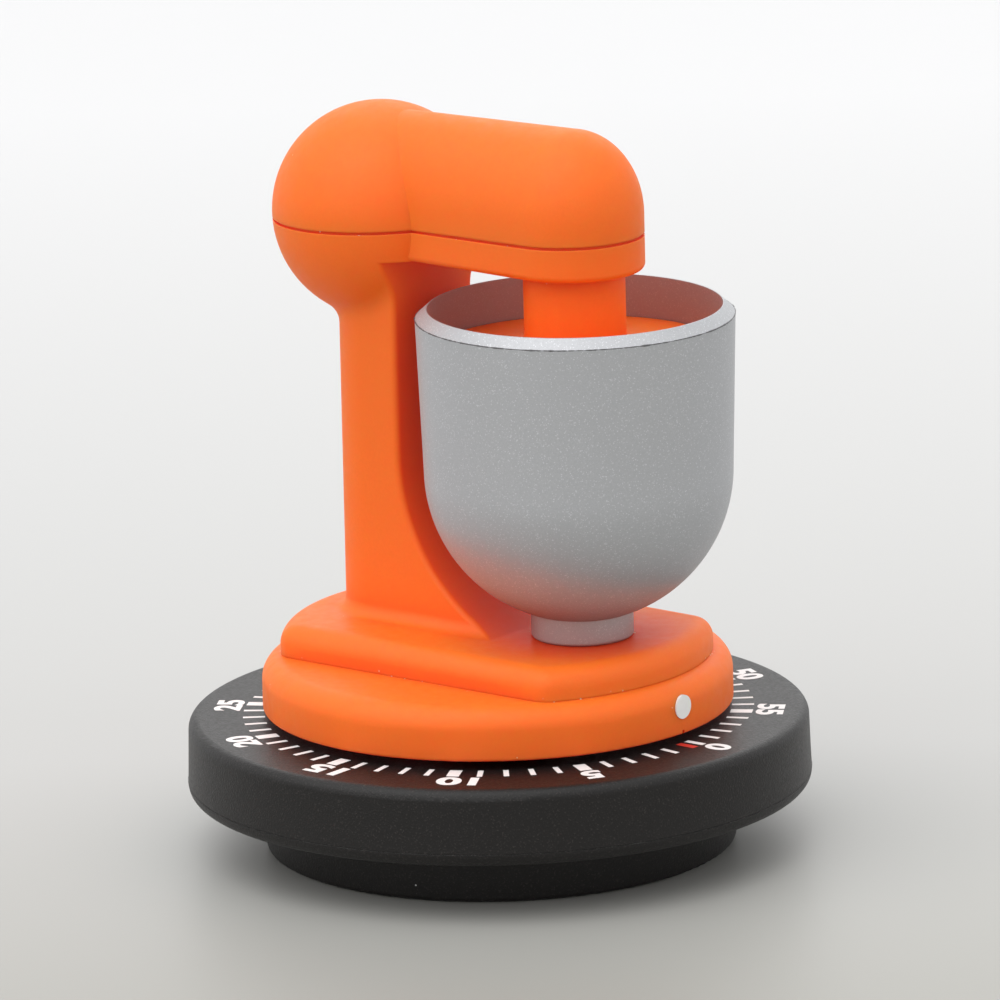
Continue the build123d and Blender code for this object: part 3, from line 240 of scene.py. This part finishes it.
def soft_touch(name, colour, painted_hollow_tone):
    """Matte soft-touch plastic: painted shade, deeper and redder, in its hollows; mottled, finely
    toothed, with dust on it.
    """
    made, tree, shader = material(
        name, colour, 0.5, Specular_IOR_Level=0.28,
        Subsurface_Weight=0.6, Subsurface_Scale=4 * mm, Subsurface_Radius=(1.0, 0.12, 0.04))
    at = place(tree)
    mottled = tint(tree, grain(tree, at, 9 * mm), shade(colour, 0.95), shade(colour, 1.04))
    tooth = remap(tree, grain(tree, at, 0.35 * mm), 0.35, 0.65)
    toothed = tint(tree, tooth, mottled, shade(colour, 0.97))
    # painted shade: the base colour turns deeper red where other surfaces close in
    painted_shade_tinted = tint(tree, hollows(tree, reach=9 * mm, low=0.2, high=0.72), toothed, painted_hollow_tone)
    dust = specks(tree, at, spacing=2.3 * mm, size=0.09 * mm, share=0.2)
    dusty = tint(tree, dust, painted_shade_tinted, FINE_DUST)
    corners = hollows(tree, reach=1 * mm, low=0.6, high=0.85)
    crumbs = times(tree, specks(tree, at, spacing=0.9 * mm, size=0.15 * mm, share=0.5), corners)
    edges = soft_edges(tree, 0.2 * mm)
    skin = bump(tree, grain(tree, at, 0.16 * mm, 2), depth=0.02 * mm, strength=0.35, under=edges)
    waves = bump(tree, grain(tree, at, 2.2 * mm), depth=0.06 * mm, strength=0.2, under=skin)
    feed(
        tree, shader, colour=tint(tree, crumbs, dusty, CRUMBS),
        roughness=uneven(tree, at, 1.5 * mm, 0.46, 0.58), normal=waves)
    return made


def metallic_grey(name, colour, painted_hollow_tone):
    """Grey plastic filled with fine aluminium flakes, with painted reflected orange light in its
    hollows: a warm tint where other surfaces close in.
    """
    made, tree, shader = material(name, colour, 0.48, Metallic=0.45)
    at = place(tree)
    flakes = cells(tree, at, 0.11 * mm)
    spark = lot(tree, flakes)
    cloudy = tint(tree, grain(tree, at, 7 * mm), shade(colour, 0.95), shade(colour, 1.05))
    flaked = tint(tree, spark, shade(colour, 0.93), cloudy)
    bright = tint(tree, remap(tree, spark, 0.93, 0.97), flaked, shade(colour, 1.3))
    # painted reflection: a warm tint where orange surfaces close in, for the light they throw
    painted_bounce = tint(tree, hollows(tree, reach=14 * mm, low=0.1, high=0.75), bright, painted_hollow_tone)
    edges = soft_edges(tree, 0.15 * mm)
    skin = bump(tree, flakes.outputs["Distance"], depth=0.02 * mm, strength=0.25, under=edges)
    waves = bump(tree, grain(tree, at, 1.4 * mm), depth=0.05 * mm, strength=0.15, under=skin)
    feed(
        tree, shader, colour=painted_bounce, roughness=remap(tree, spark, 0.0, 1.0, 0.53, 0.43), normal=waves)
    return made


def textured_black(name, colour):
    """Black plastic from a spark-eroded mould: a fine even tooth, whose peaks are painted pale as
    glints.
    """
    made, tree, shader = material(name, colour, 0.44, Specular_IOR_Level=0.34)
    at = place(tree)
    tooth = grain(tree, at, 0.22 * mm, 2)
    cloudy = tint(tree, grain(tree, at, 6 * mm), shade(colour, 0.85), shade(colour, 1.15))
    # painted glints: the tooth's peaks five times paler
    painted_glints = tint(tree, remap(tree, tooth, 0.58, 0.72), cloudy, shade(colour, 5))
    dust = specks(tree, at, spacing=3.4 * mm, size=0.14 * mm, share=0.22)
    edges = soft_edges(tree, 0.2 * mm)
    feed(
        tree, shader, colour=tint(tree, dust, painted_glints, GREY_DUST),
        roughness=uneven(tree, at, 0.4 * mm, 0.38, 0.48),
        normal=bump(tree, tooth, depth=0.07 * mm, strength=0.9, under=edges))
    return made


def smooth_plastic(name, colour, roughness=0.42):
    """Smooth moulded plastic, also used for ink: small changes of tone and gloss."""
    made, tree, shader = material(name, colour, roughness)
    at = place(tree)
    feed(
        tree, shader,
        colour=tint(tree, grain(tree, at, 0.8 * mm, 4), shade(colour, 0.9), shade(colour, 1.04)),
        roughness=uneven(tree, at, 0.5 * mm, roughness - 0.05, roughness + 0.08),
        normal=bump(tree, grain(tree, at, 0.3 * mm), depth=0.01 * mm, strength=0.3))
    return made


def rubber(name, colour):
    """Dull black rubber with a dusty bloom."""
    made, tree, shader = material(name, colour, 0.8)
    at = place(tree)
    bloom = remap(tree, grain(tree, at, 3 * mm), 0.45, 0.75)
    feed(
        tree, shader, colour=tint(tree, bloom, colour, shade(colour, 3)),
        roughness=uneven(tree, at, 1 * mm, 0.7, 0.9),
        normal=bump(tree, grain(tree, at, 0.12 * mm), depth=0.03 * mm, strength=0.5))
    return made


def metal(name, colour, roughness, stretch=(1, 1, 1), tarnish=0.85):
    """Metal with a grain along one way and a little tarnish."""
    made, tree, shader = material(name, colour, roughness, Metallic=1.0)
    cloudy = tint(tree, grain(tree, place(tree), 4 * mm), shade(colour, tarnish), colour)
    lines = grain(tree, place(tree, stretch), 0.25 * mm, 4)
    edges = soft_edges(tree, 0.08 * mm)
    feed(
        tree, shader, colour=tint(tree, lines, shade(colour, 0.9), cloudy),
        roughness=remap(tree, lines, CALM, 1 - CALM, roughness - 0.06, roughness + 0.1),
        normal=bump(tree, lines, depth=0.01 * mm, strength=0.3, under=edges))
    return made


# a metal's grain runs along the axis that it is stretched on
ALONG_X = (0.08, 1, 1)
ALONG_Z = (1, 1, 0.08)
ORANGE = (0.98, 0.162, 0.013)
# painted shade colour of the orange in its hollows
PAINTED_SHADE_ORANGE = (0.99, 0.05, 0.014)
GREY = (0.45, 0.458, 0.475)
# painted reflected orange light in the grey's hollows
PAINTED_BOUNCE_GREY = (0.33, 0.2, 0.175)
# dark grey of the flash bead: painted shade under the bowl's chamfer
BURR_PAINTED_SHADE_GREY = (0.13, 0.13, 0.135)
# painted reflected light in the burr's hollows
PAINTED_BOUNCE_BURR = (0.08, 0.07, 0.07)
BLACK = (0.006, 0.0051, 0.0048)
LOOKS = {
    "soft_touch_orange": (soft_touch, ORANGE, PAINTED_SHADE_ORANGE),
    "grey_metallic_plastic": (metallic_grey, GREY, PAINTED_BOUNCE_GREY),
    "black_textured_plastic": (textured_black, BLACK),
    "white_plastic": (smooth_plastic, (0.85, 0.84, 0.82)),
    "black_rubber": (rubber, (0.015, 0.015, 0.015)),
    "steel": (metal, (0.56, 0.56, 0.57), 0.3, ALONG_X),
    "spring_steel": (metal, (0.16, 0.19, 0.28), 0.28, ALONG_Z, 0.6),
    "brass": (metal, (0.72, 0.5, 0.2), 0.28, ALONG_X),
    "bell_steel": (metal, (0.7, 0.7, 0.71), 0.12),
}
MATERIALS = {name: make(name, *values) for name, (make, *values) in LOOKS.items()}
BURR = metallic_grey("burr", BURR_PAINTED_SHADE_GREY, PAINTED_BOUNCE_BURR)
PALE_FLASH = textured_black("black_flash", (0.02, 0.019, 0.018))
WHITE_INK = smooth_plastic("white_ink", (0.86, 0.86, 0.85), 0.5)
RED_INK = smooth_plastic("red_ink", (0.62, 0.035, 0.02), 0.5)


def dress_cad():
    """Give every CAD node the material of its slot in the record."""
    for part in frame["record"]["subparts"]:
        solid = frame["nodes"][part["node"]]
        solid.data.materials.clear()
        solid.data.materials.append(MATERIALS[part["material_slot"]])


# ---- modelled pieces ----
def piece(name, shape, look, body):
    """Turn a bmesh into an object that rides on a body."""
    mesh = bpy.data.meshes.new(name)
    bmesh.ops.recalc_face_normals(shape, faces=shape.faces)
    shape.to_mesh(mesh)
    shape.free()
    mesh.materials.append(look)
    made = bpy.data.objects.new(name, mesh)
    bpy.context.scene.collection.objects.link(made)
    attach(made, body)
    return made


def dial_face():
    """Height of the flat dial under the collar."""
    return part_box("dial_housing")[1].z - COLLAR_H


def tick(shape, minute, width):
    """Printed bar on the dial at a minute, its ends on two circles."""
    face = dial_face()
    corners = []
    for radius, side in ((TICK_IN_R, -1), (TICK_OUT_R, -1), (TICK_OUT_R, 1), (TICK_IN_R, 1)):
        corners.append(Vector((radius, side * width / 2, 0)))
    turn = Matrix.Rotation(radians(ZERO_ANGLE + MINUTE * minute), 4, "Z")
    rings = []
    for height in (face - INK_SUNK, face + INK_H):
        rings.append([shape.verts.new(turn @ c + Vector((0, 0, height))) for c in corners])
    shape.faces.new(rings[0])
    shape.faces.new(rings[1])
    for i in range(len(corners)):
        shape.faces.new((rings[0][i], rings[0][i - 1], rings[1][i - 1], rings[1][i]))


def dial_ticks():
    """White minute ticks, wider at every fifth minute, and the last one beside the red mark."""
    shape = bmesh.new()
    for minute in range(1, MINUTES):
        tick(shape, minute, TICK_W if minute % NUMERAL_EVERY else FIVE_TICK_W)
    tick(shape, MINUTES, LAST_TICK_W)
    return piece("dial_ticks", shape, WHITE_INK, "base")


def zero_mark():
    """Red mark at zero."""
    shape = bmesh.new()
    tick(shape, 0, RED_MARK_W)
    return piece("zero_mark", shape, RED_INK, "base")


def numeral_mesh(text):
    """Bold numeral as a mesh, centred, scaled to the dial's type size."""
    curve = bpy.data.curves.new("numeral", "FONT")
    curve.body = text
    curve.align_x = "CENTER"
    curve.extrude = 0.5           # any depth: the mesh is scaled to the ink's
    curve.offset = NUMERAL_BOLD
    curve.resolution_u = NUMERAL_STEPS
    holder = bpy.data.objects.new("numeral", curve)
    bpy.context.scene.collection.objects.link(holder)
    bpy.context.view_layer.update()
    shown = holder.evaluated_get(bpy.context.evaluated_depsgraph_get())
    mesh = bpy.data.meshes.new_from_object(shown)
    bpy.data.objects.remove(holder)
    bpy.data.curves.remove(curve)
    low = Vector(min(v.co[i] for v in mesh.vertices) for i in range(3))
    high = Vector(max(v.co[i] for v in mesh.vertices) for i in range(3))
    size = high - low
    goal = Vector((NUMERAL_W * len(text), NUMERAL_H, INK_H + INK_SUNK))
    mesh.transform(Matrix.Translation(-(low + high) / 2))
    mesh.transform(Matrix.Diagonal((goal.x / size.x, goal.y / size.y, goal.z / size.z, 1)))
    return mesh


def dial_numerals():
    """Numerals round the scale from 0 up, their tops outwards."""
    shape = bmesh.new()
    height = dial_face() + (INK_H - INK_SUNK) / 2
    for minute in range(0, MINUTES, NUMERAL_EVERY):
        text = str(minute)
        angle = ZERO_ANGLE + MINUTE * minute
        if minute == 0:
            angle += ZERO_TURN
        elif len(text) == 2:
            angle += TWO_DIGIT_TURN
        mesh = numeral_mesh(text)
        turned = Matrix.Rotation(radians(angle - 90), 4, "Z")     # from +Y, where it is placed
        mesh.transform(turned @ Matrix.Translation((0, NUMERAL_R, height)))
        shape.from_mesh(mesh)
        bpy.data.meshes.remove(mesh)
    return piece("dial_numerals", shape, WHITE_INK, "base")


def bead(name, radius, centre, thickness, look, body):
    """Thin uneven bead round a circle, as a mould leaves where its halves meet."""
    shape = bmesh.new()
    rings = []
    for i in range(BEAD_STEPS):
        angle = 2 * pi * i / BEAD_STEPS
        out = Vector((cos(angle), sin(angle), 0))
        swell = sum(noise.noise(out * wave) for wave in BEAD_WAVES)
        size = thickness * (1 + BEAD_ROUGH * swell)
        ring = []
        for j in range(BEAD_SIDES):
            turn = 2 * pi * j / BEAD_SIDES
            offset = out * cos(turn) + Vector((0, 0, sin(turn)))
            ring.append(shape.verts.new(centre + out * radius + size * offset))
        rings.append(ring)
    for i in range(BEAD_STEPS):
        for j in range(BEAD_SIDES):
            shape.faces.new((rings[i - 1][j - 1], rings[i][j - 1], rings[i][j], rings[i - 1][j]))
    made = piece(name, shape, look, body)
    for face in made.data.polygons:
        face.use_smooth = True
    return made


def mould_flash():
    """Flash under the bowl's chamfer, coloured dark as painted shade under the chamfer, and along
    the parting line of the base.
    """
    low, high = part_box("bowl")
    centre = Vector(((low.x + high.x) / 2, (low.y + high.y) / 2, high.z - BOWL_CHAMFER_H))
    bead("bowl_rim_flash", (high.x - low.x) / 2 - FLASH_SUNK, centre, FLASH_R,
         BURR, "knob")
    low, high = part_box("dial_housing")
    bead("base_parting_flash", high.x, Vector((0, 0, low.z)), PARTING_R,
         PALE_FLASH, "base")


# ---- studio ----
def pale_floor():
    """Plain floor with painted shade in front of the object, and paler far behind it."""
    made, tree, shader = material("pale_floor", FLOOR_NEAR, 0.45, Specular_IOR_Level=0.3)
    at = node(tree, "ShaderNodeTexCoord").outputs["Object"]
    turned = node(tree, "ShaderNodeMapping", {"Vector": at, "Rotation": (0, 0, -VIEW_TURN)})
    depth = node(tree, "ShaderNodeSeparateXYZ", {"Vector": turned.outputs["Vector"]}).outputs["Y"]
    # painted shade in front of the object
    with_front_painted_shade = tint(tree, remap(tree, depth, *FRONT_SWEEP), FLOOR_FRONT_PAINTED_SHADE, FLOOR_NEAR)
    swept = tint(tree, remap(tree, depth, *FAR_SWEEP), with_front_painted_shade, FLOOR_FAR)
    tree.links.new(swept, shader.inputs["Base Color"])
    return made


def studio():
    """Pale floor, white sky, and soft lamps of which the key stands to the upper left."""
    bpy.ops.mesh.primitive_plane_add(size=FLOOR_SIZE)
    floor = bpy.context.object
    floor.name = "floor"
    floor.data.materials.append(pale_floor())
    world = bpy.data.worlds.new("studio")
    bpy.context.scene.world = world
    world.use_nodes = True
    back = world.node_tree.nodes["Background"]
    back.inputs["Color"].default_value = (1.0, 1.0, 1.0, 1)
    back.inputs["Strength"].default_value = SKY
    for name, turn, rise, soft, strength in LAMPS:
        lamp = bpy.data.lights.new(name, "SUN")
        lamp.energy = strength
        lamp.angle = radians(soft)
        holder = bpy.data.objects.new(name, lamp)
        bpy.context.scene.collection.objects.link(holder)
        tilt = Matrix.Rotation(radians(90 - rise), 4, "X")
        holder.matrix_world = Matrix.Rotation(VIEW_TURN + radians(turn), 4, "Z") @ tilt


def camera():
    """Long lens at the photograph's angle."""
    data = bpy.data.cameras.new("camera")
    data.lens = LENS
    data.sensor_width = SENSOR
    data.clip_end = CAMERA_REACH
    holder = bpy.data.objects.new("camera", data)
    bpy.context.scene.collection.objects.link(holder)
    turn = Matrix.Rotation(VIEW_TURN, 4, "Z")
    tilt = Matrix.Rotation(pi / 2 - VIEW_PITCH, 4, "X")
    roll = Matrix.Rotation(VIEW_ROLL, 4, "Z")
    holder.matrix_world = turn @ Matrix.Translation(CAMERA_AT) @ tilt @ roll
    bpy.context.scene.camera = holder


dress_cad()
dial_ticks()
zero_mark()
dial_numerals()
mould_flash()
studio()
camera()
bpy.context.scene.view_settings.view_transform = "Standard"
